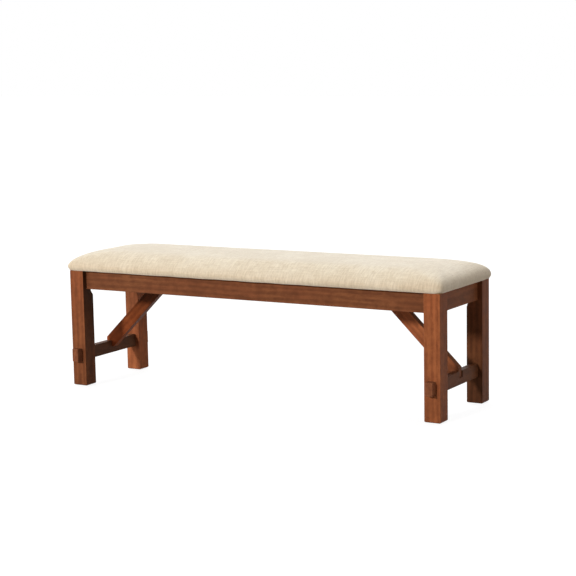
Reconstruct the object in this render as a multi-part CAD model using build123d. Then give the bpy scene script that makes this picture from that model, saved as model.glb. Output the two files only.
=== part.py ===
from build123d import *
from math import cos, pi, radians, sin, sqrt, tan
import os

# A long backless bench with an upholstered seat on a stained wooden frame.
# Sizes are in millimetres. X runs along the bench with the right end positive, Y runs from
# front to back, and Z goes up from the floor. The origin is on the floor under the middle.

# Frame
frame_length = 1453.0        # over the outer faces of the legs
frame_depth = 386.0          # over the front and back faces of the legs
frame_height = 418.0         # floor to the top of the legs and aprons
leg_width = 57.0
edge_radius = 1.5            # eased corners of the wooden pieces
foot_chamfer = 3.0           # round the bottom of each leg
leg_chamfer = 16.0           # flat on the inner corner of each leg, for the hanger bolt
chamfer_below_apron = 25.0   # how far that flat runs down past the aprons
runout_radius = 52.0         # cutter curve where the flat ends

# Aprons
apron_height = 66.0
apron_thickness = 22.0
apron_setback = 17.0         # behind the outer faces of the legs

# End stretchers and the braces that stand in them
stretcher_bottom = 93.0
stretcher_height = 45.0
stretcher_thickness = 25.0
tenon_reach = 25.0           # how far each end stands out of its leg
tenon_chamfer = 2.0
mortise_clearance = 0.1
brace_thickness = 26.0
brace_width = 46.0
brace_angle = 44.2           # degrees above the floor
brace_recess = 3.0           # foot end behind the outer face of the stretcher
brace_toe_height = 12.5      # foot end above the top of the stretcher
brace_head_width = 8.5       # level top of the brace, against the cross rail
slot_depth = 22.0            # open slot in the top of the stretcher
slot_clearance = 0.3         # each side of the brace

# Cross rails under the seat, against the heads of the braces
rail_thickness = 22.0
rail_height = 62.0
housing_depth = 7.0          # of the grooves in the aprons that hold the rail's ends
housing_clearance = 0.1

# Corner blocks
block_gap = 10.0             # between the block and the flat on the leg
block_thickness = 22.0
block_inset = 4.0            # shorter than the aprons, top and bottom

# Hanger bolts
bolt_radius = 4.0
bolt_bite = 40.0             # threaded into the leg
bolt_overrun = 4.0           # past the nut
washer_radius = 10.0
washer_thickness = 1.6
nut_across_flats = 13.0
nut_height = 6.5
bolt_hole_clearance = 0.5

# Screws
fit_clearance = 0.05         # round screws, bolts and nails
screw_radius = 2.0
screw_head_radius = 4.0
screw_head_height = 2.6
pocket_clearance = 0.5       # round a screw head
block_screw_seat = 9.0       # from the head to the apron
block_screw_length = 26.0
block_screw_drop = 17.0      # below the middle of the apron
brace_screw_length = 44.0
brace_screw_sink = 3.0
brace_screw_spread = 20.0
brace_screw_drop = 30.0      # upper screw below the top of the frame
foot_screw_length = 40.0
foot_screw_sink = 6.0
seat_screw_length = 55.0
seat_screw_bite = 9.0        # into the seat board
block_seat_screw_offset = 13.0
rail_seat_screw_place = 100.0

# Glides under the legs
glide_radius = 12.0
glide_thickness = 3.0
glide_nail_radius = 1.4
glide_nail_length = 16.0

# Seat
seat_overhang = 10.0         # past the legs, at the fullest part of the pad
seat_thickness = 71.5        # top of the frame to the top of the pad
board_thickness = 12.0
cover_thickness = 2.0
turn_under = 62.0            # width of the cloth that is stapled under the board
pad_side_height = 14.0       # top of the frame to the fullest part
pad_draw_in = 4.0            # at the bottom edge
pad_roll = 112.0             # width of the rounded edge, seen from above
pad_crown = 2.0              # rise of the middle over the shoulder
pad_corner_radius = 16.0
pad_corner_growth_share = 0.7   # growth of the corner radius, as a share of the inset
pad_roll_power = 1.95        # 2 is an ellipse
pad_levels = 5               # steps from the fullest part to the shoulder
pad_top_share = 0.3          # width of the flat of the crown, as a share of the pad's depth
pad_top_round_share = 0.9    # corner radius of that flat, as a share of half its width
dust_cloth_thickness = 0.6
dust_cloth_gap = 1.0

# How far a cutting shape passes the surface that it opens
overrun = 2.0

# Flats round each rod, hole and washer, few because there are many of them
rod_sides = 12

# Places worked out from the sizes above
leg_outer_x = frame_length / 2
leg_outer_y = frame_depth / 2
leg_inner_x = leg_outer_x - leg_width
leg_inner_y = leg_outer_y - leg_width
leg_middle_x = leg_outer_x - leg_width / 2
leg_middle_y = leg_outer_y - leg_width / 2
apron_bottom = frame_height - apron_height
apron_middle_z = frame_height - apron_height / 2
long_apron_outer = leg_outer_y - apron_setback
long_apron_inner = long_apron_outer - apron_thickness
end_apron_outer = leg_outer_x - apron_setback
end_apron_inner = end_apron_outer - apron_thickness
stretcher_top = stretcher_bottom + stretcher_height
stretcher_outer = leg_middle_x + stretcher_thickness / 2
stretcher_inner = leg_middle_x - stretcher_thickness / 2
slot_floor = stretcher_top - slot_depth
brace_foot = stretcher_outer - brace_recess
brace_toe = stretcher_top + brace_toe_height
brace_slope = tan(radians(brace_angle))
brace_drop = brace_width / cos(radians(brace_angle))
rail_outer = brace_foot - (frame_height - brace_toe) / brace_slope - brace_head_width
rail_inner = rail_outer - rail_thickness
rail_middle = rail_outer - rail_thickness / 2
rail_bottom = frame_height - rail_height
board_bottom = frame_height + cover_thickness
board_top = board_bottom + board_thickness
pad_half_length = leg_outer_x + seat_overhang
pad_half_depth = leg_outer_y + seat_overhang

# Each corner is laid out from the point where the inner faces of its two aprons meet.
# Depth runs from that point towards the middle of the bench, and offset runs across it.
corner = Vector(end_apron_inner, long_apron_inner, 0)
inward = Vector(-1, -1, 0).normalized()
across = Vector(-1, 1, 0).normalized()
leg_corner = Vector(leg_inner_x, leg_inner_y, 0)
leg_flat_size = leg_chamfer / sqrt(2)
leg_flat_depth = (leg_corner - corner).dot(inward) - leg_flat_size
block_outer_depth = leg_flat_depth + block_gap
block_inner_depth = block_outer_depth + block_thickness
block_bottom = apron_bottom + block_inset
block_height = apron_height - 2 * block_inset
block_contact = sqrt(2) * (block_outer_depth + block_inner_depth) / 2
seat_screw_tip = board_bottom + seat_screw_bite
seat_screw_seat = seat_screw_tip - seat_screw_length


def corner_point(depth, offset, height):
    """A point in a corner, from its depth and offset there and its height above the floor."""
    return corner + inward * depth + across * offset + Vector(0, 0, height)


def bar(x_from, x_to, y_from, y_to, z_from, z_to):
    """A square-edged bar between two opposite corners."""
    middle = Pos((x_from + x_to) / 2, (y_from + y_to) / 2, (z_from + z_to) / 2)
    return middle * Box(x_to - x_from, y_to - y_from, z_to - z_from)


def rod(start, direction, radius, length):
    """A rod from a point along a direction, with small flats in place of a true round."""
    return extrude(Plane(origin=start, z_dir=direction) * RegularPolygon(radius, rod_sides), length)


def mirrored(shape, side_x, side_y):
    """The same shape at another corner, given the signs of X and Y there."""
    if side_x < 0:
        shape = mirror(shape, about=Plane.YZ)
    if side_y < 0:
        shape = mirror(shape, about=Plane.XZ)
    return shape


def at_ends(shapes):
    """Copies of the shapes at the right and the left end."""
    return [mirrored(shape, side_x, 1) for side_x in (1, -1) for shape in shapes]


def at_corners(shapes):
    """Copies of the shapes at all four corners."""
    return [
        mirrored(shape, side_x, side_y)
        for side_x in (1, -1)
        for side_y in (1, -1)
        for shape in shapes
    ]


# Screws. Each is given by the middle of its head's flat underside and its direction.
def screw(seat, direction, length):
    """A pan-head wood screw."""
    head = rod(seat - direction * screw_head_height, direction, screw_head_radius, screw_head_height)
    return head + rod(seat, direction, screw_radius, length)


def screw_hole(seat, direction, length, pocket_length):
    """The hole that a screw runs in, with a pocket of the given length over its head."""
    shank = rod(seat, direction, screw_radius + fit_clearance, length + fit_clearance)
    pocket_radius = screw_head_radius + pocket_clearance
    return shank + rod(seat - direction * pocket_length, direction, pocket_radius, pocket_length)


block_screw_height = Vector(0, 0, apron_middle_z - block_screw_drop)
long_side_screw = (
    corner + Vector(-block_contact, -block_screw_seat, 0) + block_screw_height,
    Vector(0, 1, 0),
)
end_side_screw = (
    corner + Vector(-block_screw_seat, -block_contact, 0) + block_screw_height,
    Vector(1, 0, 0),
)
brace_screws = [
    (Vector(rail_inner + brace_screw_sink, 0, frame_height - drop), Vector(1, 0, 0))
    for drop in (brace_screw_drop, brace_screw_drop + brace_screw_spread)
]
foot_screw = (Vector(leg_middle_x, 0, stretcher_bottom + foot_screw_sink), Vector(0, 0, 1))
block_seat_screw = (
    corner_point((block_outer_depth + block_inner_depth) / 2, block_seat_screw_offset, seat_screw_seat),
    Vector(0, 0, 1),
)
rail_seat_screw = (Vector(rail_middle, rail_seat_screw_place, seat_screw_seat), Vector(0, 0, 1))


def leg():
    """The right back leg: flat on the inner corner, through mortise, bolt and nail holes."""
    post = bar(leg_inner_x, leg_outer_x, leg_inner_y, leg_outer_y, glide_thickness, frame_height)
    post = chamfer(post.faces().sort_by(Axis.Z)[0].edges(), foot_chamfer)
    post = fillet(post.edges().filter_by(Axis.Z), edge_radius)
    return (
        post
        - leg_flat()
        - bar(
            stretcher_inner - mortise_clearance,
            stretcher_outer + mortise_clearance,
            leg_inner_y - overrun,
            leg_outer_y + overrun,
            stretcher_bottom - mortise_clearance,
            stretcher_top + mortise_clearance,
        )
        - rod(bolt_start(), inward, bolt_radius + fit_clearance, bolt_bite + overrun)
        - rod(
            Vector(leg_middle_x, leg_middle_y, 0),
            Vector(0, 0, 1),
            glide_nail_radius + fit_clearance,
            glide_thickness + glide_nail_length + fit_clearance,
        )
    )


def leg_flat():
    """What the cutter takes off the inner corner of the leg, with its curved run-out."""
    flat_end = apron_bottom - chamfer_below_apron
    runout = sqrt(2 * runout_radius * leg_flat_size - leg_flat_size**2)
    straight_end = flat_end + runout
    outside = leg_flat_depth + leg_flat_size + overrun
    top = frame_height + overrun
    below = runout_radius - (leg_flat_size + overrun)
    low = straight_end - sqrt(runout_radius**2 - below**2)
    middle_angle = pi / 8
    arc_middle = (
        leg_flat_depth + runout_radius * (1 - cos(middle_angle)),
        straight_end - runout_radius * sin(middle_angle),
    )
    plane = Plane(origin=corner, x_dir=inward, z_dir=inward.cross(Vector(0, 0, 1)))
    edges = [
        Line((outside, top), (leg_flat_depth, top)),
        Line((leg_flat_depth, top), (leg_flat_depth, straight_end)),
        ThreePointArc((leg_flat_depth, straight_end), arc_middle, (outside, low)),
        Line((outside, low), (outside, top)),
    ]
    return extrude(plane * make_face(edges), leg_chamfer, both=True)


def bolt_start():
    """The end of the hanger bolt that is in the leg."""
    return corner_point(leg_flat_depth - bolt_bite, 0, apron_middle_z)


def long_apron():
    """The back apron, between the two back legs."""
    board = bar(-leg_inner_x, leg_inner_x, long_apron_inner, long_apron_outer, apron_bottom, frame_height)
    board = fillet(board.faces().sort_by(Axis.Z)[0].edges().filter_by(Axis.X), edge_radius)
    housing = bar(
        rail_inner - housing_clearance,
        rail_outer + housing_clearance,
        long_apron_inner - overrun,
        long_apron_inner + housing_depth,
        rail_bottom - housing_clearance,
        frame_height + overrun,
    )
    return board - at_ends([housing, screw_hole(*long_side_screw, block_screw_length, overrun)])


def end_apron():
    """The right end apron, between the front and the back leg."""
    board = bar(end_apron_inner, end_apron_outer, -leg_inner_y, leg_inner_y, apron_bottom, frame_height)
    board = fillet(board.faces().sort_by(Axis.Z)[0].edges().filter_by(Axis.Y), edge_radius)
    hole = screw_hole(*end_side_screw, block_screw_length, overrun)
    return board - hole - mirrored(hole, 1, -1)


def stretcher():
    """The right end stretcher, whose ends pass through the legs as tenons."""
    reach = leg_outer_y + tenon_reach
    rail = bar(stretcher_inner, stretcher_outer, -reach, reach, stretcher_bottom, stretcher_top)
    rail = chamfer(rail.faces().filter_by(Axis.Y).edges(), tenon_chamfer)
    rail = fillet(rail.edges().filter_by(Axis.Y), edge_radius)
    half_slot = brace_thickness / 2 + slot_clearance
    return (
        rail
        - bar(
            stretcher_inner - overrun,
            stretcher_outer + overrun,
            -half_slot,
            half_slot,
            slot_floor,
            stretcher_top + overrun,
        )
        - screw_hole(*foot_screw, foot_screw_length, foot_screw_sink + overrun)
    )


def brace_top_at(x):
    """Height of the upper edge of the right brace."""
    return brace_toe + brace_slope * (brace_foot - x)


def brace_top_where(z):
    """Where the upper edge of the right brace reaches a height."""
    return brace_foot - (z - brace_toe) / brace_slope


def brace():
    """The right brace: level foot in the stretcher's slot, upright head against the rail."""
    outline = [
        (brace_foot, brace_top_at(brace_foot)),
        (brace_foot, slot_floor),
        (brace_top_where(slot_floor + brace_drop), slot_floor),
        (rail_outer, brace_top_at(rail_outer) - brace_drop),
        (rail_outer, frame_height),
        (brace_top_where(frame_height), frame_height),
    ]
    side = Plane.XZ * make_face(Polyline(*outline, close=True))
    plank = extrude(side, brace_thickness / 2, both=True)
    plank = fillet(plank.faces().filter_by(Axis.Y).edges(), edge_radius)
    plank = plank - [screw_hole(*place, brace_screw_length, overrun) for place in brace_screws]
    return plank - screw_hole(*foot_screw, foot_screw_length, overrun)


def cross_rail():
    """The right cross rail, with its ends housed in the two long aprons."""
    reach = long_apron_inner + housing_depth - housing_clearance
    rail = bar(rail_inner, rail_outer, -reach, reach, rail_bottom, frame_height)
    hole = screw_hole(*rail_seat_screw, seat_screw_length, seat_screw_seat - rail_bottom + overrun)
    sink = brace_screw_sink + overrun
    return (
        rail
        - hole
        - mirrored(hole, 1, -1)
        - [screw_hole(*place, brace_screw_length, sink) for place in brace_screws]
    )


def corner_block():
    """The right back corner block, mitred to both aprons."""
    outline = [
        corner_point(block_outer_depth, -block_outer_depth, block_bottom),
        corner_point(block_outer_depth, block_outer_depth, block_bottom),
        corner_point(block_inner_depth, block_inner_depth, block_bottom),
        corner_point(block_inner_depth, -block_inner_depth, block_bottom),
    ]
    block = extrude(make_face(Polyline(*outline, close=True)), block_height, dir=(0, 0, 1))
    bolt_hole = rod(
        corner_point(block_outer_depth - overrun, 0, apron_middle_z),
        inward,
        bolt_radius + bolt_hole_clearance,
        block_thickness + 2 * overrun,
    )
    return (
        block
        - bolt_hole
        - screw_hole(*long_side_screw, block_screw_length, block_thickness)
        - screw_hole(*end_side_screw, block_screw_length, block_thickness)
        - screw_hole(*block_seat_screw, seat_screw_length, seat_screw_seat - block_bottom + overrun)
    )


def hanger_bolt():
    """The stud from the leg through the corner block."""
    end = block_inner_depth + washer_thickness + nut_height + bolt_overrun
    return rod(bolt_start(), inward, bolt_radius, end - leg_flat_depth + bolt_bite)


def hanger_washer():
    """The washer on the inner face of the corner block."""
    seat = corner_point(block_inner_depth, 0, apron_middle_z)
    hole = rod(seat, inward, bolt_radius + bolt_hole_clearance, washer_thickness)
    return rod(seat, inward, washer_radius, washer_thickness) - hole


def hanger_nut():
    """The six-sided nut on the washer."""
    seat = corner_point(block_inner_depth + washer_thickness, 0, apron_middle_z)
    outline = RegularPolygon(nut_across_flats / 2, 6, major_radius=False)
    nut = extrude(Plane(origin=seat, z_dir=inward) * outline, nut_height)
    return nut - rod(seat, inward, bolt_radius + fit_clearance, nut_height)


def leg_glide():
    """The nailed glide under the right back leg, which stands on the floor."""
    middle = Vector(leg_middle_x, leg_middle_y, 0)
    disc = rod(middle, Vector(0, 0, 1), glide_radius, glide_thickness)
    return disc + rod(middle, Vector(0, 0, 1), glide_nail_radius, glide_thickness + glide_nail_length)


def level_outline(inset, corner_radius, height):
    """A level rounded rectangle, drawn in from the fullest outline of the pad."""
    return Pos(0, 0, height) * RectangleRounded(
        2 * (pad_half_length - inset), 2 * (pad_half_depth - inset), corner_radius
    )


def pad_form(skin):
    """The crowned form of the pad, smaller by a skin thickness all over."""
    fullest = frame_height + pad_side_height
    shoulder = frame_height + seat_thickness - pad_crown - skin
    bottom = frame_height + skin
    sections = [
        level_outline(skin + pad_draw_in, pad_corner_radius - skin, bottom),
        level_outline(skin, pad_corner_radius - skin, fullest),
    ]
    for level in range(1, pad_levels):
        angle = pi / 2 * level / pad_levels
        inset = pad_roll * (1 - cos(angle) ** (2 / pad_roll_power))
        height = fullest + (shoulder - fullest) * sin(angle) ** (2 / pad_roll_power)
        radius = pad_corner_radius - skin + pad_corner_growth_share * inset
        sections.append(level_outline(skin + inset, radius, height))
    top_inset = pad_half_depth * (1 - pad_top_share)
    top_radius = pad_half_depth * pad_top_share * pad_top_round_share
    sections.append(level_outline(top_inset, top_radius, shoulder + pad_crown))
    return loft(sections, ruled=True)


def seat_board():
    """The plywood board that the pad is built on."""
    half_length = pad_half_length - pad_draw_in - cover_thickness
    half_depth = pad_half_depth - pad_draw_in - cover_thickness
    outline = RectangleRounded(2 * half_length, 2 * half_depth, pad_corner_radius - cover_thickness)
    board = extrude(Pos(0, 0, board_bottom) * outline, board_thickness)
    return board - seat_screw_holes()


def seat_screw_holes():
    """The holes of all the seat screws."""
    holes = at_corners(
        [screw_hole(*place, seat_screw_length, overrun) for place in (block_seat_screw, rail_seat_screw)]
    )
    return holes


def seat_foam():
    """The foam slab, with its crown and rounded edges."""
    below = bar(
        -pad_half_length, pad_half_length, -pad_half_depth, pad_half_depth, frame_height, board_top
    )
    return pad_form(cover_thickness) - below


def seat_cover():
    """The cloth over the foam, pulled round the edge of the board and under it."""
    opening = extrude(
        level_outline(turn_under, pad_corner_radius, frame_height - overrun), cover_thickness + 2 * overrun
    )
    return pad_form(0) - pad_form(cover_thickness) - opening


def dust_cloth():
    """The thin cloth that closes the underside of the board."""
    bottom = board_bottom - dust_cloth_thickness
    outline = level_outline(turn_under + dust_cloth_gap, pad_corner_radius, bottom)
    return extrude(outline, dust_cloth_thickness) - seat_screw_holes()


def write(name, shapes):
    """One file for one sub-part, which may be several equal solids."""
    solids = [solid for shape in shapes for solid in shape.solids()]
    export_step(Compound(label=name, children=solids), f"parts/{name}.step")


os.makedirs("parts", exist_ok=True)

one_leg = leg()
one_block = corner_block()
for row, side_y in (("front", -1), ("back", 1)):
    for end, side_x in (("left", -1), ("right", 1)):
        write(f"{row}_{end}_leg", [mirrored(one_leg, side_x, side_y)])
        write(f"{row}_{end}_corner_block", [mirrored(one_block, side_x, side_y)])
    write(f"{row}_apron", [mirrored(long_apron(), 1, side_y)])

for end, side_x in (("left", -1), ("right", 1)):
    for name, piece in (
        ("apron", end_apron()),
        ("stretcher", stretcher()),
        ("brace", brace()),
        ("cross_rail", cross_rail()),
    ):
        write(f"{end}_{name}", [mirrored(piece, side_x, 1)])

write("hanger_bolts", at_corners([hanger_bolt()]))
write("hanger_washers", at_corners([hanger_washer()]))
write("hanger_nuts", at_corners([hanger_nut()]))
write("leg_glides", at_corners([leg_glide()]))
write(
    "corner_block_screws",
    at_corners([screw(*place, block_screw_length) for place in (long_side_screw, end_side_screw)]),
)
write("brace_head_screws", at_ends([screw(*place, brace_screw_length) for place in brace_screws]))
write("brace_foot_screws", at_ends([screw(*foot_screw, foot_screw_length)]))
write(
    "seat_screws",
    at_corners([screw(*place, seat_screw_length) for place in (block_seat_screw, rail_seat_screw)]),
)
write("seat_board", [seat_board()])
write("seat_foam", [seat_foam()])
write("seat_cover", [seat_cover()])
write("dust_cloth", [dust_cloth()])
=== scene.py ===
from math import cos, pi, radians, sin

import bmesh
import bpy
from mathutils import Matrix, Vector, noise


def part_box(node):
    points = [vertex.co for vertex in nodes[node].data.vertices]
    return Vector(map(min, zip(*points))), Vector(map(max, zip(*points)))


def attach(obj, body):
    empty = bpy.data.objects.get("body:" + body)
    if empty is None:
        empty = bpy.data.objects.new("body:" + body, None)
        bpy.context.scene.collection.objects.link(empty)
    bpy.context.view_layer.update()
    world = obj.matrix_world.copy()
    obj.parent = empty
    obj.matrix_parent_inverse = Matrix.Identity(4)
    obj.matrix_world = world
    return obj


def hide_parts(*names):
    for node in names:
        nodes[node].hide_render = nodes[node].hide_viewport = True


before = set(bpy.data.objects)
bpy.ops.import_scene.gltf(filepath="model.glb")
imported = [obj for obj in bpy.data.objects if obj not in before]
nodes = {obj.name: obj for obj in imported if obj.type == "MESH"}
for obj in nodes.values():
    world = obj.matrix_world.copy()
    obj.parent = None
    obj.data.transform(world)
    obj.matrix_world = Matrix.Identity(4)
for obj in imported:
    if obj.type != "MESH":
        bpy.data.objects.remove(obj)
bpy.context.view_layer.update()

# Camera, at the photograph's viewing angle
camera_yaw = radians(30.455)      # round to the right end
camera_pitch = radians(8.297)     # above the horizon
camera_roll = radians(-1.07)
camera_distance = 5.650
camera_aim = Vector((0.0627, 0.0, 0.3739))
camera_lens = 102.79              # millimetres
camera_sensor = 36.0              # its width in millimetres

# Light: the strength of each sun is what a white surface that faces it gives back, times pi
white = (1, 1, 1, 1)
sky_strength = 0.10               # as a light; where the sky is seen, it is white
floor_size = 60.0
floor_colour = (0.20, 0.20, 0.20, 1)        # where the floor is seen, under its glow
floor_under_light = (0.34, 0.34, 0.34, 1)   # where it only lights the bench
floor_glow = 0.90
suns = {                          # the way to each sun, its strength and its width in degrees
    "key_light": (Vector((-0.20, -0.905, 0.37)), 0.69 * pi, 7),
    "back_light": (Vector((-0.27, 0.50, 0.82)), 0.80 * pi, 70),
    "side_light": (Vector((0.98, -0.15, 0.02)), 0.11 * pi, 50),
}
panels = {                        # place, aim, width and watts of the panel beside each end
    "near_light": (Vector((-2.1, -1.7, 0.75)), Vector((-0.5, 0.0, 0.4)), 1.0, 13.0),
    "end_light": (Vector((2.3, -0.5, 0.18)), Vector((0.7, 0.0, 0.4)), 0.8, 3.8),
}

# Mesh of the cushion
cells_long = 148                  # along the bench
cells_wide = 40                   # across it
edge_levels = 13                  # rows of the rounded edge

# Rounded edge and crown of the cushion
full_height = 0.0128              # of the fullest line, above the frame
roll = 0.112                      # width of the rounded edge, seen from above
roll_power = 1.95                 # 2 is an ellipse, and more is fuller
left_power = 2.02                 # the same at the left end
right_power = 2.28                # and at the right end, which is filled most
end_reach = 0.16                  # how far from an end its own power begins to count
crown = 0.002                     # rise of the middle over the shoulder
corner_radius = 0.016
corner_growth = 0.7               # of the corner radius with the inset
corner_limit = 0.92               # the largest corner radius, as a share of the row's half depth

# Lower edge of the cushion and the cloth under the board
lower_edge = (                    # slope and fold under the side: inset and height
    (0.0098, 0.0000),
    (0.0080, 0.0004),
    (0.0066, 0.0010),
    (0.0057, 0.0019),
    (0.0042, 0.0040),
    (0.0022, 0.0074),
)
turn_under = 0.062                # width of the cloth that is stapled under the board
turn_under_rows = (0.80, 0.60, 0.40, 0.27)  # as shares of that width
opening_height = 0.0018           # of the rim round the opening under the board
edge_width = turn_under / 4       # of the edge that is pulled unevenly
edge_lift = 0.0012                # how much it rises and falls
edge_waves = 15.0                 # per metre
edge_slice = 0.4                  # the waves are a level slice through a noise, at this height
edge_level = 0.4                  # added to the waves; what is then still below zero stays down
corner_lift = 0.0006              # how much more the edge rises at the corners
corner_lift_start = 0.09          # where that begins, as the distances along both sides together
corner_lift_end = 0.01            # where it is full

# Simulation of the cushion
start_inset = 0.0015              # the form starts this much too low, and swells by about as much
held_height = 0.016               # the cloth is held below this height
swell_cap = 0.003
air_pressure = 1.2
swell_frames = 12


def object_of(name, data):
    """A new object in the scene for a mesh, a light or a camera."""
    piece = bpy.data.objects.new(name, data)
    bpy.context.scene.collection.objects.link(piece)
    return piece


# Materials


class Nodes:
    """The nodes of one material, or of the sky."""

    def __init__(self, tree):
        self.tree = tree
        tree.nodes.clear()

    def set(self, socket, value):
        """Links a socket to another one, or gives it a value of its own."""
        if isinstance(value, bpy.types.NodeSocket):
            self.tree.links.new(value, socket)
        else:
            socket.default_value = value

    def add(self, kind, sockets=None, **settings):
        """A node with its settings, and values or links for its sockets."""
        node = self.tree.nodes.new(kind)
        for key, value in settings.items():
            setattr(node, key, value)
        for key, value in (sockets or {}).items():
            self.set(node.inputs[key], value)
        return node

    def math(self, operation, a, b=0.0):
        """The result of one operation on one value or two."""
        return self.add("ShaderNodeMath", {0: a, 1: b}, operation=operation).outputs[0]

    def times(self, a, b):
        """One value times another."""
        return self.math("MULTIPLY", a, b)

    def plus(self, a, b):
        """One value plus another."""
        return self.math("ADD", a, b)

    def mix(self, factor, a, b, blend="MIX"):
        """Two colours blended by a factor."""
        node = self.add("ShaderNodeMix", data_type="RGBA", blend_type=blend)
        for socket, value in zip((node.inputs[0], node.inputs[6], node.inputs[7]), (factor, a, b)):
            self.set(socket, value)
        return node.outputs[2]

    def cover(self, tone, over, value, span, share):
        """A tone that is covered by another, up to a share, where a value goes over its span."""
        return self.mix(self.times(self.ramp(value, *span), share), tone, over)

    def noise(self, vector, scale, detail, roughness):
        """A soft noise from 0 to 1."""
        sockets = {"Vector": vector, "Scale": scale, "Detail": detail, "Roughness": roughness}
        return self.add("ShaderNodeTexNoise", sockets).outputs["Fac"]

    def grained(self, vector, stretch, scale, detail, roughness, offset=(0, 0, 0)):
        """A soft noise that is drawn out along X."""
        drawn_out = self.place(vector, scale=(stretch, 1, 1), offset=offset)
        return self.noise(drawn_out, scale, detail, roughness)

    def ramp(self, value, low, high):
        """A value stretched so that low becomes 0 and high becomes 1."""
        sockets = {"Value": value, "From Min": low, "From Max": high}
        return self.add("ShaderNodeMapRange", sockets, clamp=True).outputs["Result"]

    def place(self, vector, scale=(1, 1, 1), offset=(0, 0, 0), turn=(0, 0, 0)):
        """Coordinates that are scaled, turned and moved."""
        sockets = {"Vector": vector, "Location": offset, "Rotation": turn, "Scale": scale}
        return self.add("ShaderNodeMapping", sockets).outputs["Vector"]

    def position(self):
        """The place on the bench, in metres."""
        return self.add("ShaderNodeTexCoord").outputs["Object"]

    def normal(self):
        """The direction that the surface faces."""
        return self.add("ShaderNodeNewGeometry").outputs["Normal"]

    def parts(self, vector):
        """The X, Y and Z of a vector."""
        return self.add("ShaderNodeSeparateXYZ", {"Vector": vector}).outputs

    def bump(self, height, depth):
        """A normal bent by a height, with its full depth in metres."""
        return self.add("ShaderNodeBump", {"Height": height, "Strength": 1.0, "Distance": depth}).outputs[0]


class Finish(Nodes):
    """A new material and its nodes."""

    def __init__(self, name):
        self.material = bpy.data.materials.new(name)
        self.material.use_nodes = True
        super().__init__(self.material.node_tree)

    def show(self, shader):
        """The material with a shader as its surface."""
        self.add("ShaderNodeOutputMaterial", {"Surface": shader.outputs[0]})
        return self.material

    def surface(self, sockets):
        """The material with the main shader and these sockets."""
        return self.show(self.add("ShaderNodeBsdfPrincipled", sockets))


# Figure of the wood: stretch along the grain, scale, detail and roughness of each noise
streak_noise = (0.08, 150.0, 3.0, 0.55)
fibre_noise = (0.05, 520.0, 4.0, 0.70)
mottle_noise = (0.75, 40.0, 5.0, 0.68)
patch_noise = (0.45, 11.0, 2.0, 0.50)
shadow_noise = (0.55, 21.0, 3.0, 0.60)
shadow_offset = (0.4, 0.2, 0.1)
ring_stretch = 0.10
ring_waves = {
    "Scale": 17.0,
    "Distortion": 9.0,
    "Detail": 2.0,
    "Detail Scale": 0.8,
    "Detail Roughness": 0.45,
}
ring_share = 0.14                 # of the figure
streak_share = 0.25
mottle_share = 0.61
figure_span = (0.36, 0.60)        # of the figure, from the dark tone to the light one
patch_span = (0.42, 0.62)
patch_share = 0.55                # of the red tone in a patch
pore_span = (0.30, 0.52)
pore_share = 0.55                 # of the dark tone in a pore
shadow_span = (0.50, 0.66)
shadow_share = 0.45               # of the dark tone in a shadow
log_step = (0.7, 0.013, -0.017)   # from one board to the next in the log
log_start = (0.0, 0.045, -0.05)
log_rows = 3                      # boards until the second step begins again
log_layers = 4                    # and until the third one does

# Lighter edges (rubbed wear and painted highlight), relief and gloss of the wood
edge_radius = 0.0045
edge_span = (0.0, 0.12)           # of how far the rounded surface turns away from the flat one
edge_share = 0.5                  # of the lighter edge tone, rubbed wear and painted highlight, on an edge
edge_mottle_span = (0.20, 0.75)   # of the mottle, which breaks up the lighter edges
pore_relief = 0.7
streak_relief = 0.3
wood_relief = 0.00010             # full depth in metres
wood_specular = 0.045
wood_roughness_spread = 0.14
stained_roughness = 0.42
bare_roughness = 0.62

# Light, dark, red and lighter edge tones of each wood; the edge tone is rubbed wear and painted highlight
stain = (
    (0.325, 0.099, 0.034, 1),
    (0.185, 0.053, 0.019, 1),
    (0.290, 0.073, 0.027, 1),
    (0.370, 0.145, 0.060, 1),
)
bare_wood = (
    (0.46, 0.290, 0.150, 1),
    (0.30, 0.165, 0.085, 1),
    (0.41, 0.245, 0.130, 1),
    (0.50, 0.330, 0.180, 1),
)

# How light each board is at its foot and at the top of the frame, the same two on the
# faces that look along the bench, and its hue. These are partly the board's own tone and partly painted
# shade and light. Lower is darker, and a hue under 1 is redder.
stain_and_painted_light = {
    "front_left_leg": (0.75, 0.97, 0.70, 0.24, 1.03),
    "front_right_leg": (1.08, 1.23, 1.02, 0.82, 1.03),
    "back_left_leg": (1.38, 0.71, 1.58, 0.95, 1.10),
    "back_right_leg": (0.29, 0.60, 0.57, 0.78, 0.98),
    "front_apron": (0.72, 0.72, 0.72, 0.72, 1.09),
    "back_apron": (0.76, 0.76, 0.76, 0.76, 1.05),
    "left_apron": (0.72, 0.72, 0.72, 0.72, 1.05),
    "right_apron": (0.68, 0.68, 0.71, 0.71, 1.06),
    "left_brace": (1.75, 0.15, 0.60, 0.60, 0.84),
    "right_brace": (0.23, 1.75, 0.60, 0.60, 1.08),
    "left_stretcher": (0.55, 0.55, 0.50, 0.50, 1.25),
    "right_stretcher": (0.45, 0.45, 0.47, 0.47, 1.06),
}
painted_shade_heights = (0.04, 0.38)      # above the floor, where the first value and the second one hold
side_shade_span = (0.5, 0.8)        # of the normal's X, from the first pair of values to the second
green_power = 0.85                # under 1, so that a darker value, from the board's tone and from painted shade, is also a little greyer
blue_power = 0.75
tenon_start = 0.190               # from the middle plane; the stretchers' ends beyond it are greyer
tenon_fade = 0.004
tenon_tint = (0.86, 0.98, 1.20, 1)


def stain_tint(tone_and_shade, hue):
    """The colour that scales a tone."""
    return (tone_and_shade, hue * tone_and_shade**green_power, hue**2 * tone_and_shade**blue_power, 1)


def board_offset(seed):
    """Where in the log a board was cut."""
    steps = (seed, seed % log_rows, seed % log_layers)
    return [start + step * count for start, step, count in zip(log_start, log_step, steps)]


# Painted highlight and rubbed wear: the edges of every board are made lighter
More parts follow.
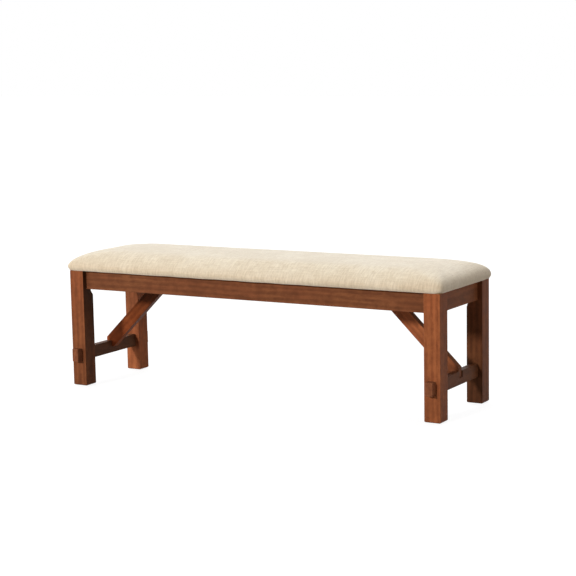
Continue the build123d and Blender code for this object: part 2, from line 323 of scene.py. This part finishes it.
def edge_wear_and_highlight(shader, mottle):
    """1 on the edges of a board, broken up by the mottle."""
    rounded = shader.add("ShaderNodeBevel", {"Radius": edge_radius}, samples=8).outputs[0]
    sockets = {0: rounded, 1: shader.normal()}
    facing = shader.add("ShaderNodeVectorMath", sockets, operation="DOT_PRODUCT").outputs["Value"]
    lighter_edge = shader.ramp(shader.math("SUBTRACT", 1.0, facing), *edge_span)
    return shader.times(lighter_edge, shader.ramp(mottle, *edge_mottle_span))


def board_tint_and_painted_light(shader, tone_and_shade, has_tenons):
    """The colour that scales a board's tones: its own tone, and painted shade and light that change from
    its foot to its top and on the faces that look along the bench.
    """
    foot, top, side_foot, side_top, hue = tone_and_shade
    place = shader.parts(shader.position())
    # Painted shade and light: darker or lighter from the foot to the top, and on the faces that look along
    # the bench
    height = shader.ramp(place["Z"], *painted_shade_heights)
    front = shader.mix(height, stain_tint(foot, hue), stain_tint(top, hue))
    side_shade = shader.mix(height, stain_tint(side_foot, hue), stain_tint(side_top, hue))
    looking = shader.math("ABSOLUTE", shader.parts(shader.normal())["X"])
    tint_and_shade = shader.mix(shader.ramp(looking, *side_shade_span), front, side_shade)
    if has_tenons:
        distance = shader.math("ABSOLUTE", place["Y"])
        tint_and_shade = shader.mix(shader.ramp(distance, tenon_start, tenon_start + tenon_fade), tint_and_shade, tenon_tint)
    return tint_and_shade


def wood(name, grain, seed, tones, roughness, tone_and_shade=None, has_tenons=False):
    """Flat-sawn wood with its grain along a direction, lighter edges that are rubbed wear and painted
    highlight, and on a stained board painted shade and light; bare or stained.
    """
    light, dark, red, edge_tone = tones
    shader = Finish(name)
    turn = Vector(grain).rotation_difference(Vector((1, 0, 0))).to_euler()
    along = shader.place(shader.position(), turn=turn)
    board = shader.place(along, offset=board_offset(seed))
    ring_place = shader.place(board, scale=(ring_stretch, 1, 1))
    rings = shader.add(
        "ShaderNodeTexWave", {"Vector": ring_place, **ring_waves}, wave_type="RINGS", rings_direction="X"
    ).outputs["Fac"]
    streaks = shader.grained(board, *streak_noise)
    fibres = shader.grained(board, *fibre_noise)
    mottle = shader.grained(board, *mottle_noise)
    patches = shader.grained(board, *patch_noise)
    shadows = shader.grained(board, *shadow_noise, offset=shadow_offset)
    figure = shader.plus(shader.times(rings, ring_share), shader.times(streaks, streak_share))
    figure = shader.ramp(shader.plus(figure, shader.times(mottle, mottle_share)), *figure_span)
    pores = shader.ramp(fibres, *pore_span)
    between = shader.math("SUBTRACT", 1.0, pores)
    tone = shader.mix(figure, dark, light)
    tone = shader.cover(tone, shader.mix(figure, dark, red), patches, patch_span, patch_share)
    tone = shader.mix(shader.times(between, pore_share), tone, dark)
    tone = shader.cover(tone, dark, shadows, shadow_span, shadow_share)
    # Lighter edges: rubbed wear and painted highlight
    tone = shader.mix(shader.times(edge_wear_and_highlight(shader, mottle), edge_share), tone, edge_tone)
    # Painted shade and light: the board's tone is scaled from its foot to its top and on faces that look
    # along the bench
    if tone_and_shade is not None:
        tone = shader.mix(1.0, tone, board_tint_and_painted_light(shader, tone_and_shade, has_tenons), "MULTIPLY")
    relief = shader.plus(shader.times(pores, pore_relief), shader.times(streaks, streak_relief))
    return shader.surface(
        {
            "Base Color": tone,
            "Roughness": shader.plus(shader.times(mottle, wood_roughness_spread), roughness),
            "Specular IOR Level": wood_specular,
            "Normal": shader.bump(relief, wood_relief),
        }
    )


def colour(red, green, blue):
    """A colour given by its screen values from 0 to 255."""
    linear = [(value / 255) ** 2.2 for value in (red, green, blue)]
    return (*linear, 1)


# Cloth of the cushion: tones, then scale, detail and roughness of each noise
linen_light = colour(229, 209, 180)
linen_dark = colour(203, 180, 149)
linen_pale = colour(240, 226, 203)
linen_fleck = colour(172, 142, 110)
linen_painted_top_light = (1.04, 1.11, 1.17, 1)  # painted light: scales the cloth paler and less warm where it faces up, as a lit top looks
top_light_span = (0.35, 1.0)             # of the normal's Z
thread_weights = (1.0, 0.7, 0.45)     # of the threads that lie next to each other along X, Y and Z
thread_stretch = 0.11                 # along a thread, against 1 across it
thread_offset = Vector((3.1, 1.7, 0.0))  # from one set of threads to the next
thread_start = Vector((0.0, 0.0, 0.9))
thread_facing = (0.94, 0.50)          # a set of threads is hidden where the cloth faces along its axis
thread_noise = (950.0, 2.0, 0.6)
slub_noise = (240.0, 3.0, 0.7)
fleck_noise = (520.0, 2.0, 0.7)
cloud_noise = (9.0, 3.0, 0.6)
tuft_noise = (110.0, 4.0, 0.65)
slub_span = (-0.15, 0.15)             # of the slubs, from the dark tone to the light one
slub_relief = 0.8
linen_relief = 0.0006                 # full depth in metres


def linen(name):
    """Slubby plain-weave cloth: on each side of the cushion two sets of threads cross."""
    shader = Finish(name)
    place = shader.position()
    normal = shader.normal()
    unsigned = shader.add("ShaderNodeVectorMath", {0: normal}, operation="ABSOLUTE").outputs["Vector"]
    facing = shader.parts(unsigned)
    fine, slubs = 0.0, 0.0
    for axis, weight in enumerate(thread_weights):
        scale = [thread_stretch] * 3
        scale[axis] = 1.0
        across = shader.place(place, scale=scale, offset=thread_start + thread_offset * axis)
        shown = shader.times(shader.ramp(facing[axis], *thread_facing), weight)
        thread = shader.math("SUBTRACT", shader.noise(across, *thread_noise), 0.5)
        slub = shader.math("SUBTRACT", shader.noise(across, *slub_noise), 0.5)
        fine = shader.plus(fine, shader.times(thread, shown))
        slubs = shader.plus(slubs, shader.times(slub, shown))
    flecks = shader.noise(place, *fleck_noise)
    clouds = shader.noise(place, *cloud_noise)
    tufts = shader.noise(place, *tuft_noise)
    tone = shader.mix(shader.ramp(slubs, *slub_span), linen_dark, linen_light)
    for over, value, span, share in (
        (linen_pale, fine, (-0.10, 0.14), 0.30),
        (linen_fleck, flecks, (0.56, 0.76), 0.30),
        (linen_dark, tufts, (0.48, 0.64), 0.22),
        (linen_dark, clouds, (0.42, 0.62), 0.20),
        (linen_pale, clouds, (0.50, 0.34), 0.20),
    ):
        tone = shader.cover(tone, over, value, span, share)
    # Painted light: the cloth is paler and less warm where it faces up
    top_light = shader.ramp(shader.parts(normal)["Z"], *top_light_span)
    return shader.surface(
        {
            "Base Color": shader.mix(top_light, tone, linen_painted_top_light, "MULTIPLY"),
            "Roughness": 0.92,
            "Specular IOR Level": 0.2,
            "Sheen Weight": 0.45,
            "Sheen Roughness": 0.5,
            "Normal": shader.bump(shader.plus(fine, shader.times(slubs, slub_relief)), linen_relief),
        }
    )


# Metal, plastic and bonded cloth: scale, detail and roughness of each noise, dark and light tones
zinc_noise = (260.0, 3.0, 0.6)
zinc_tones = ((0.50, 0.50, 0.47, 1), (0.74, 0.74, 0.72, 1))
zinc_roughness = 0.25
zinc_roughness_spread = 0.2
scuff_noise = (700.0, 3.0, 0.6)
scuff_stretch = (1, 0.2, 1)
scuff_span = (0.45, 0.7)
scuff_depth = 0.0001
glide_tones = ((0.055, 0.032, 0.022, 1), (0.12, 0.08, 0.06, 1))
fuzz_noise = (900.0, 3.0, 0.7)
dot_scale = 520.0
dot_depth = 0.0003
bonded_tones = ((0.008, 0.008, 0.009, 1), (0.030, 0.030, 0.032, 1))


def metal(name):
    """Zinc-plated steel."""
    shader = Finish(name)
    cloud = shader.noise(shader.position(), *zinc_noise)
    roughness = shader.plus(shader.times(cloud, zinc_roughness_spread), zinc_roughness)
    return shader.surface(
        {"Base Color": shader.mix(cloud, *zinc_tones), "Metallic": 1.0, "Roughness": roughness}
    )


def plastic(name):
    """The moulded plastic of the glides, scuffed by the floor."""
    shader = Finish(name)
    scuffs = shader.noise(shader.place(shader.position(), scale=scuff_stretch), *scuff_noise)
    tone = shader.mix(shader.ramp(scuffs, *scuff_span), *glide_tones)
    return shader.surface(
        {"Base Color": tone, "Roughness": 0.5, "Normal": shader.bump(scuffs, scuff_depth)}
    )


def bonded_cloth(name):
    """Thin black bonded cloth with pressed dots."""
    shader = Finish(name)
    place = shader.position()
    dots = shader.add("ShaderNodeTexVoronoi", {"Vector": place, "Scale": dot_scale}).outputs["Distance"]
    fuzz = shader.noise(place, *fuzz_noise)
    relief = shader.bump(shader.plus(dots, fuzz), dot_depth)
    return shader.surface(
        {"Base Color": shader.mix(fuzz, *bonded_tones), "Roughness": 0.95, "Normal": relief}
    )


# Grain of each board
brace_tilt = radians(44.2)
upright = (0, 0, 1)
lengthwise = (1, 0, 0)
crosswise = (0, 1, 0)
brace_grain = {
    "left": (cos(brace_tilt), 0, sin(brace_tilt)),
    "right": (cos(brace_tilt), 0, -sin(brace_tilt)),
}
block_grain = {"left": (1, 1, 0), "right": (1, -1, 0)}
steel_nodes = (
    "hanger_bolts",
    "hanger_washers",
    "hanger_nuts",
    "corner_block_screws",
    "brace_head_screws",
    "brace_foot_screws",
    "seat_screws",
)


def dress(node, material):
    """The material on all of a node."""
    for slot in nodes[node].material_slots:
        slot.link = "OBJECT"
        slot.material = material


def stained(node, grain, seed):
    """Stained wood on a node; each board has its own tone, with painted shade and light on top of it."""
    has_tenons = node.endswith("stretcher")
    name = f"{node}_wood"
    tone_and_shade = stain_and_painted_light[node]
    dress(node, wood(name, grain, seed, stain, stained_roughness, tone_and_shade, has_tenons))


def raw(node, grain, seed):
    """Unfinished wood on a node."""
    dress(node, wood(f"{node}_wood", grain, seed, bare_wood, bare_roughness))


def dress_frame():
    """The finish of every wooden, metal and plastic piece and of the dust cloth."""
    seed = 1
    for row in ("front", "back"):
        for end in ("left", "right"):
            stained(f"{row}_{end}_leg", upright, seed)
            raw(f"{row}_{end}_corner_block", block_grain[end], seed + 1)
            seed += 2
        stained(f"{row}_apron", lengthwise, seed)
        seed += 1
    for end in ("left", "right"):
        stained(f"{end}_apron", crosswise, seed)
        stained(f"{end}_stretcher", crosswise, seed + 1)
        stained(f"{end}_brace", brace_grain[end], seed + 2)
        raw(f"{end}_cross_rail", crosswise, seed + 3)
        seed += 4
    raw("seat_board", lengthwise, seed)
    steel = metal("zinc_steel_finish")
    for node in steel_nodes:
        dress(node, steel)
    dress("leg_glides", plastic("glide_finish"))
    dress("dust_cloth", bonded_cloth("dust_cloth_finish"))


# Seat cushion


def smooth_step(value, low, high):
    """0 below low, 1 above high, and a soft rise between them."""
    share = min(1.0, max(0.0, (value - low) / (high - low)))
    return share * share * (3 - 2 * share)


def cushion_rows():
    """Inset of each row, from the rim under the board to the shoulder, and the height of the low ones."""
    rows = [(turn_under, opening_height), (turn_under, 0.0)]
    rows += [(turn_under * share, 0.0) for share in turn_under_rows]
    rows += list(lower_edge)
    for level in range(edge_levels + 1):
        angle = pi / 2 * level / edge_levels
        rows.append((roll * (1 - max(0.0, cos(angle)) ** (2 / roll_power)), None))
    return rows


def cushion_plan(half, inset, across, along):
    """A place on a row; across and along run from -1 to 1 over its rectangle with rounded corners."""
    reach = half - Vector((inset, inset))
    radius = min(corner_radius + corner_growth * inset, corner_limit * reach.y)
    place = Vector((along * reach.x, across * reach.y))
    over = Vector((abs(place.x) - reach.x + radius, abs(place.y) - reach.y + radius))
    if radius > 0 and over.x > 0 and over.y > 0:
        longest = max(over.x, over.y)
        over *= longest / over.length
        place.x = (reach.x - radius + over.x) * (1 if place.x > 0 else -1)
        place.y = (reach.y - radius + over.y) * (1 if place.y > 0 else -1)
    return place


def rolled_height(half, inset, place, side_height):
    """Height of the rounded edge over the frame, fuller near the ends."""
    end = smooth_step(abs(place.x), half.x - end_reach, half.x - roll / 4)
    end_power = right_power if place.x > 0 else left_power
    power = roll_power + (end_power - roll_power) * end
    rise = side_height - crown - full_height - start_inset
    share = min(1.0, inset / roll)
    return full_height + rise * max(0.0, 1 - (1 - share) ** power) ** (1 / power)


def lifted(half, place, height):
    """Rise of the cloth's lower edge, which is pulled unevenly and a little tighter at the corners."""
    wave = noise.noise(Vector((place.x, place.y, edge_slice)) * edge_waves)
    corner = half.x + half.y
    near = smooth_step(abs(place.x) + abs(place.y), corner - corner_lift_start, corner - corner_lift_end)
    fade = 1 - smooth_step(height, 0.0, full_height * 2)
    return fade * (edge_lift * max(0.0, edge_level + wave) + corner_lift * near)


def edge_cells():
    """The places round a row, anticlockwise, as shares from -1 to 1 along and across."""
    long_steps = [2 * i / cells_long - 1 for i in range(cells_long)]
    wide_steps = [2 * i / cells_wide - 1 for i in range(cells_wide)]
    cells = [(along, -1.0) for along in long_steps]
    cells += [(1.0, across) for across in wide_steps]
    cells += [(-along, 1.0) for along in long_steps]
    cells += [(-1.0, -across) for across in wide_steps]
    return cells


def edge_ring(form, cells, row, half, low, high):
    """The points of one row round the cushion, between the heights low and high."""
    inset, row_height = row
    ring = []
    for along, across in cells:
        place = cushion_plan(half, inset, across, along)
        height = rolled_height(half, inset, place, high - low) if row_height is None else row_height
        if inset < edge_width:
            lift = lifted(half, place, height)
            place = cushion_plan(half, max(0.0, inset - lift / 2), across, along)
            height += lift
        ring.append(form.verts.new((place.x, place.y, low + height)))
    return ring


def fill_top(form, cells, shoulder_ring, half, high):
    """The crowned top inside the shoulder's row."""
    grid = {}
    for (along, across), vertex in zip(cells, shoulder_ring):
        i = round((along + 1) / 2 * cells_long)
        j = round((across + 1) / 2 * cells_wide)
        grid[i, j] = vertex
    shoulder = high - crown - start_inset
    for i in range(1, cells_long):
        for j in range(1, cells_wide):
            steps_in = min(i, cells_long - i, j, cells_wide - j)
            share = 2 * steps_in / cells_wide
            inset = roll + (half.y - roll) * share
            along = (2 * i - cells_long) / max(1, cells_long - 2 * steps_in)
            across = (2 * j - cells_wide) / max(1, cells_wide - 2 * steps_in)
            place = cushion_plan(half, inset, across, along)
            height = shoulder + crown * (1 - (1 - share) ** 2)
            grid[i, j] = form.verts.new((place.x, place.y, height))
    for i in range(cells_long):
        for j in range(cells_wide):
            form.faces.new((grid[i, j], grid[i + 1, j], grid[i + 1, j + 1], grid[i, j + 1]))


def cushion_form():
    """The crowned form of the cushion as a closed mesh, a little smaller than the finished one."""
    low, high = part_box("seat_cover")
    half = Vector(((high.x - low.x) / 2, (high.y - low.y) / 2))
    form = bmesh.new()
    cells = edge_cells()
    count = len(cells)
    rings = [edge_ring(form, cells, row, half, low.z, high.z) for row in cushion_rows()]
    for lower, upper in zip(rings, rings[1:]):
        for i in range(count):
            j = (i + 1) % count
            form.faces.new((lower[i], lower[j], upper[j], upper[i]))
    form.faces.new(rings[0][::-1])
    fill_top(form, cells, rings[-1], half, high.z)
    mesh = bpy.data.meshes.new("seat_cushion")
    form.to_mesh(mesh)
    form.free()
    return mesh


def applied(piece):
    """The piece's mesh with its modifiers applied."""
    bpy.context.view_layer.update()
    shown = piece.evaluated_get(bpy.context.evaluated_depsgraph_get())
    mesh = bpy.data.meshes.new_from_object(shown)
    piece.modifiers.clear()
    piece.data = mesh
    return mesh


def swell(piece, bottom):
    """Fills the cushion with air under its cloth, held at the bottom, and caps how far it moves."""
    start = [vertex.co.copy() for vertex in piece.data.vertices]
    group = piece.vertex_groups.new(name="held")
    held = [i for i, place in enumerate(start) if place.z < bottom + held_height]
    group.add(held, 1.0, "REPLACE")
    cloth = piece.modifiers.new("Cloth", "CLOTH").settings
    cloth.quality = 6
    cloth.mass = 0.3
    cloth.tension_stiffness = 30
    cloth.compression_stiffness = 30
    cloth.shear_stiffness = 15
    cloth.bending_stiffness = 5
    cloth.vertex_group_mass = "held"
    cloth.use_pressure = True
    cloth.uniform_pressure_force = air_pressure
    cloth.effector_weights.gravity = 0
    scene = bpy.context.scene
    for number in range(1, swell_frames + 1):
        scene.frame_set(number)
    mesh = applied(piece)
    scene.frame_set(1)
    for vertex, place in zip(mesh.vertices, start):
        move = vertex.co - place
        if move.length > swell_cap:
            move *= swell_cap / move.length
        vertex.co = place + move


def open_below(piece):
    """Takes away the one large face under the board, which a subdivision would divide badly."""
    form = bmesh.new()
    form.from_mesh(piece.data)
    wide = [face for face in form.faces if len(face.verts) > 4]
    bmesh.ops.delete(form, geom=wide, context="FACES_ONLY")
    form.to_mesh(piece.data)
    form.free()


def close_below(piece):
    """Closes the opening under the board again, behind the dust cloth, with one flat face."""
    form = bmesh.new()
    form.from_mesh(piece.data)
    rim = [edge for edge in form.edges if edge.is_boundary]
    for face in bmesh.ops.holes_fill(form, edges=rim, sides=0)["faces"]:
        face.smooth = False
        face.normal_update()
        if face.normal.z > 0:
            face.normal_flip()
    form.to_mesh(piece.data)
    form.free()


def make_cushion():
    """The upholstered cushion: crowned, drawn in at the bottom and stapled under the board."""
    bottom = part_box("seat_cover")[0].z
    piece = object_of("seat_cushion", cushion_form())
    swell(piece, bottom)
    open_below(piece)
    smooth = piece.modifiers.new("Subdivision", "SUBSURF")
    smooth.levels = smooth.render_levels = 1
    applied(piece)
    for face in piece.data.polygons:
        face.use_smooth = True
    close_below(piece)
    piece.data.materials.append(linen("linen_cloth"))
    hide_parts("seat_cover", "seat_foam")
    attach(piece, "root")


# Floor, light and camera


def seen_rays(shader):
    """1 for the rays that show the background: camera, glossy and transmission rays."""
    path = shader.add("ShaderNodeLightPath").outputs
    seen = shader.math("MAXIMUM", path["Is Camera Ray"], path["Is Glossy Ray"])
    return shader.math("MAXIMUM", seen, path["Is Transmission Ray"])


def make_floor():
    """A plain pale floor, which keeps the bench's shadow."""
    mesh = bpy.data.meshes.new("floor")
    reach = floor_size / 2
    corners = [(-reach, -reach, 0), (reach, -reach, 0), (reach, reach, 0), (-reach, reach, 0)]
    mesh.from_pydata(corners, [], [(0, 1, 2, 3)])
    floor = object_of("floor", mesh)
    shader = Finish("floor_finish")
    seen = seen_rays(shader)
    matt = shader.add("ShaderNodeBsdfDiffuse", {"Color": shader.mix(seen, floor_under_light, floor_colour)})
    glow = shader.times(seen, floor_glow)
    light = shader.add("ShaderNodeEmission", {"Color": white, "Strength": glow})
    both = shader.add("ShaderNodeAddShader", {0: matt.outputs[0], 1: light.outputs[0]})
    mesh.materials.append(shader.show(both))


def make_sky():
    """A pale sky all round, which is white where it is seen."""
    world = bpy.data.worlds.new("sky")
    world.use_nodes = True
    sky = Nodes(world.node_tree)
    sockets = {"Value": seen_rays(sky), "To Min": sky_strength, "To Max": 1.0}
    strength = sky.add("ShaderNodeMapRange", sockets).outputs["Result"]
    background = sky.add("ShaderNodeBackground", {"Color": white, "Strength": strength})
    sky.add("ShaderNodeOutputWorld", {"Surface": background.outputs[0]})
    bpy.context.scene.world = world


def make_lights():
    """Soft suns, and a panel beside each end."""
    for name, (towards, strength, width) in suns.items():
        light = bpy.data.lights.new(name, "SUN")
        light.energy = strength
        light.angle = radians(width)
        lamp = object_of(name, light)
        lamp.rotation_euler = towards.to_track_quat("Z", "Y").to_euler()
    for name, (place, aim, width, watts) in panels.items():
        light = bpy.data.lights.new(name, "AREA")
        light.size = width
        light.energy = watts
        lamp = object_of(name, light)
        lamp.location = place
        lamp.rotation_euler = (place - aim).to_track_quat("Z", "Y").to_euler()


def make_camera():
    """The camera where the photograph was taken from."""
    level = cos(camera_pitch)
    back = Vector((sin(camera_yaw) * level, -cos(camera_yaw) * level, sin(camera_pitch)))
    across = (-back).cross(Vector((0, 0, 1))).normalized()
    steep = across.cross(-back)
    right = cos(camera_roll) * across + sin(camera_roll) * steep
    up = cos(camera_roll) * steep - sin(camera_roll) * across
    data = bpy.data.cameras.new("camera")
    data.lens = camera_lens
    data.sensor_width = camera_sensor
    camera = object_of("camera", data)
    turned = Matrix((right, up, back)).transposed().to_4x4()
    camera.matrix_world = Matrix.Translation(camera_aim + back * camera_distance) @ turned
    bpy.context.scene.camera = camera


dress_frame()
make_cushion()
make_floor()
make_sky()
make_lights()
make_camera()
bpy.context.scene.view_settings.view_transform = "Standard"
